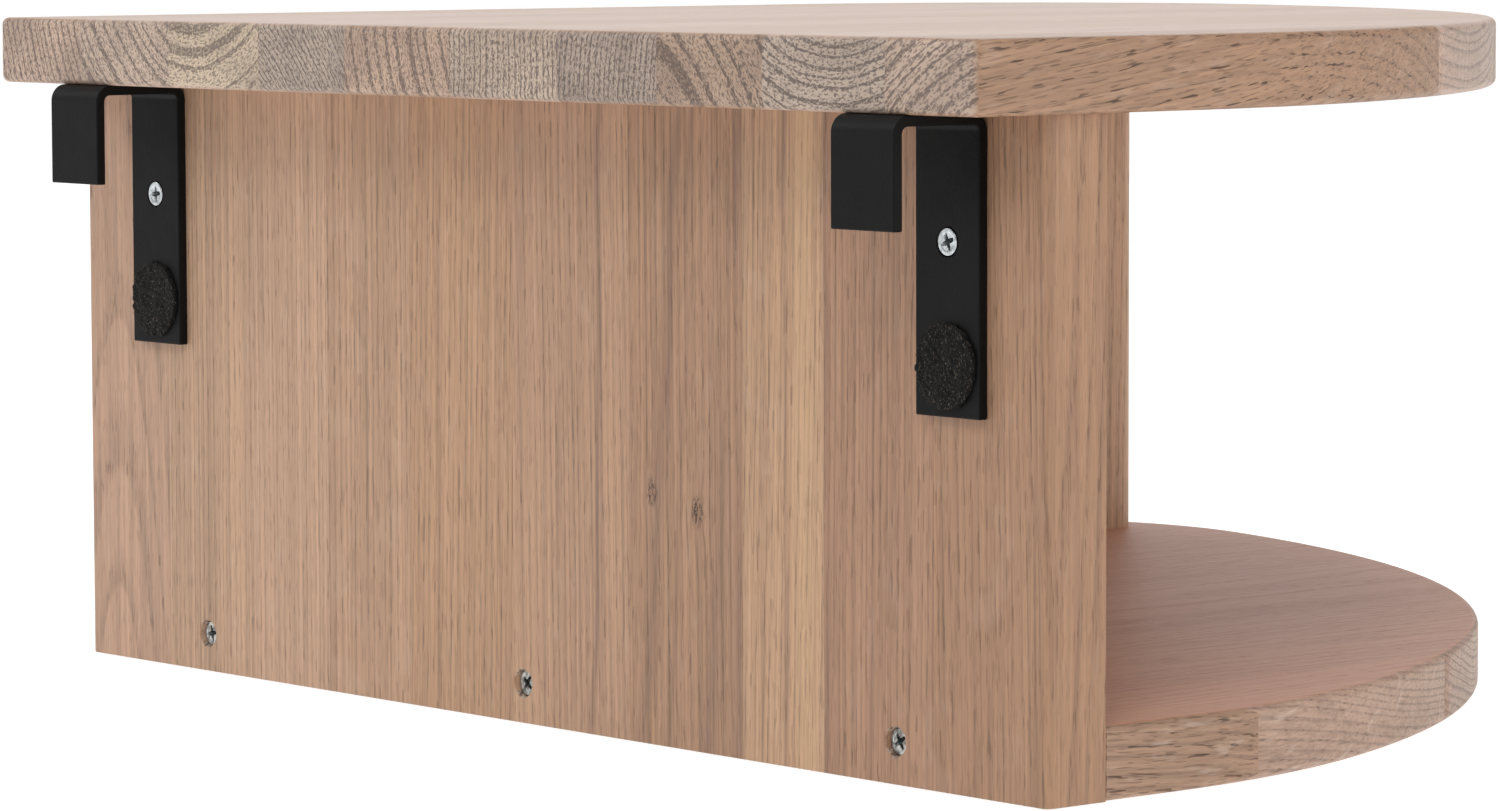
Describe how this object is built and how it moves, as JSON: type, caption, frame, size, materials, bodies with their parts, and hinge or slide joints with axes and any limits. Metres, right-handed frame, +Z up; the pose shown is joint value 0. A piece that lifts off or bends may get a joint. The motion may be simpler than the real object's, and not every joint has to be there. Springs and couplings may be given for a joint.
{
  "type": "hanging bedside shelf",
  "caption": "Hanging bedside shelf in glued oak staves: D-shaped top and shelf, back panel and upright, on bent steel hooks that drop over a rail.",
  "frame": {"origin": "centre of the bounding box, at the height of the underside", "axes": "+Z up, front towards -Y, hooks at the rear towards +Y, +X to the right as seen from the front"},
  "size_m": [0.45, 0.429, 0.2],
  "materials": {
    "oak_light": "brushed oak, pale matt oil",
    "oak_pale": "brushed oak, pale matt oil",
    "oak_mid": "brushed oak, pale matt oil",
    "oak_dark": "brushed oak heartwood, pale matt oil",
    "black_steel": "black fine-textured powder coat",
    "zinc_steel": "bright zinc plate",
    "felt": "black wool felt",
    "beech": "plain beech dowel"
  },
  "bodies": {
    "root": {"dowel_panel_1": "beech", "dowel_panel_2": "beech", "dowel_panel_3": "beech", "dowel_upright_base_1": "beech", "dowel_upright_base_2": "beech", "dowel_upright_top_1": "beech", "dowel_upright_top_2": "beech", "felt_left": "felt", "felt_right": "felt", "hook_left": "black_steel", "hook_right": "black_steel", "hook_screw_left_lower": "zinc_steel", "hook_screw_left_upper": "zinc_steel", "hook_screw_right_lower": "zinc_steel", "hook_screw_right_upper": "zinc_steel", "panel_stave_01": "oak_pale", "panel_stave_02": "oak_pale", "panel_stave_03": "oak_pale", "panel_stave_04": "oak_mid", "panel_stave_05": "oak_mid", "panel_stave_06": "oak_mid", "panel_stave_07": "oak_dark", "panel_stave_08": "oak_pale", "panel_stave_09": "oak_dark", "panel_stave_10": "oak_dark", "shelf_screw_left": "zinc_steel", "shelf_screw_middle": "zinc_steel", "shelf_screw_right": "zinc_steel", "shelf_stave_01": "oak_pale", "shelf_stave_02": "oak_mid", "shelf_stave_03": "oak_pale", "shelf_stave_04": "oak_mid", "shelf_stave_05": "oak_pale", "shelf_stave_06": "oak_mid", "shelf_stave_07": "oak_pale", "shelf_stave_08": "oak_mid", "shelf_stave_09": "oak_pale", "shelf_stave_10": "oak_mid", "shelf_stave_11": "oak_pale", "top_stave_01": "oak_mid", "top_stave_02": "oak_light", "top_stave_03": "oak_light", "top_stave_04": "oak_light", "top_stave_05": "oak_mid", "top_stave_06": "oak_mid", "top_stave_07": "oak_light", "top_stave_08": "oak_light", "top_stave_09": "oak_light", "top_stave_10": "oak_mid", "upright_stave_01": "oak_mid", "upright_stave_02": "oak_pale", "upright_stave_03": "oak_mid", "upright_stave_04": "oak_pale", "upright_stave_05": "oak_mid", "upright_stave_06": "oak_pale", "upright_stave_07": "oak_mid", "upright_stave_08": "oak_pale"}
  },
  "joints": []
}
